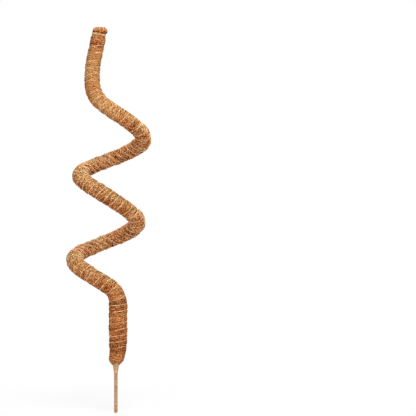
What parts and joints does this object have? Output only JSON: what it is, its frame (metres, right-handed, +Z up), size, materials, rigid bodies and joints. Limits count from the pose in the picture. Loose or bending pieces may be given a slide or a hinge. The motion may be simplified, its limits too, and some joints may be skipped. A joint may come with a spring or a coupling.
{
  "type": "moss pole",
  "caption": "Bendable coir moss pole bent into an open rising coil, with a thin stake below for the soil and a straight arm on top, to support a climbing plant.",
  "frame": {"origin": "on the axis of the stake at soil level, where the coir ends above the stake", "axes": "+Z up along the stake, +X to the right and -Y to the front as the pole is pictured"},
  "size_m": [0.133, 0.0981, 0.6008],
  "materials": {
    "coir_fibre": "rough wound coconut fibre, orange tan with dark brown and pale strands",
    "inner_fibre": "packed coconut fibre, dark brown",
    "twine": "two-ply cream twine",
    "wire_steel": "bare soft steel wire",
    "stake_plastic": "tan plastic coating, satin",
    "collar_tape": "tan wrapped tape, matt"
  },
  "bodies": {
    "stem": {"core_wire_stem": "wire_steel", "fibre_core_stem": "inner_fibre", "coir_stem": "coir_fibre", "twine_stem": "twine", "stake_tube": "stake_plastic", "stake_cap": "stake_plastic", "collar_tape": "collar_tape"},
    "turn_1": {"core_wire_turn_1": "wire_steel", "fibre_core_turn_1": "inner_fibre", "coir_turn_1": "coir_fibre", "twine_turn_1": "twine"},
    "turn_2": {"core_wire_turn_2": "wire_steel", "fibre_core_turn_2": "inner_fibre", "coir_turn_2": "coir_fibre", "twine_turn_2": "twine"},
    "turn_3": {"core_wire_turn_3": "wire_steel", "fibre_core_turn_3": "inner_fibre", "coir_turn_3": "coir_fibre", "twine_turn_3": "twine"},
    "turn_4": {"core_wire_turn_4": "wire_steel", "fibre_core_turn_4": "inner_fibre", "coir_turn_4": "coir_fibre", "twine_turn_4": "twine"},
    "turn_5": {"core_wire_turn_5": "wire_steel", "fibre_core_turn_5": "inner_fibre", "coir_turn_5": "coir_fibre", "twine_turn_5": "twine"},
    "top_arm": {"core_wire_top": "wire_steel", "fibre_core_top": "inner_fibre", "coir_top": "coir_fibre", "twine_top": "twine", "top_tie": "twine", "top_plug": "coir_fibre"}
  },
  "joints": [
    {"name": "bottom_bend", "type": "hinge", "parent": "stem", "child": "turn_1", "pos_m": [-0.00005, -0.00136, 0.11128], "axis": [0.2433, -0.9682, -0.0577], "range_deg": [-30, 30]},
    {"name": "left_bend_low", "type": "hinge", "parent": "turn_1", "child": "turn_2", "pos_m": [-0.06465, 0.02974, 0.16362], "axis": [-0.0748, 0.4144, -0.907], "range_deg": [-30, 30]},
    {"name": "right_bend_low", "type": "hinge", "parent": "turn_2", "child": "turn_3", "pos_m": [0.03391, 0.03099, 0.22147], "axis": [-0.0745, -0.4956, -0.8653], "range_deg": [-30, 30]},
    {"name": "left_bend_high", "type": "hinge", "parent": "turn_3", "child": "turn_4", "pos_m": [-0.05533, 0.03234, 0.29535], "axis": [-0.0748, 0.4144, -0.907], "range_deg": [-30, 30]},
    {"name": "right_bend_high", "type": "hinge", "parent": "turn_4", "child": "turn_5", "pos_m": [0.04323, 0.03359, 0.35319], "axis": [-0.0745, -0.4956, -0.8653], "range_deg": [-30, 30]},
    {"name": "top_bend", "type": "hinge", "parent": "turn_5", "child": "top_arm", "pos_m": [-0.03577, 0.01702, 0.43114], "axis": [0.4792, 0.8039, -0.3523], "range_deg": [-30, 30]}
  ]
}
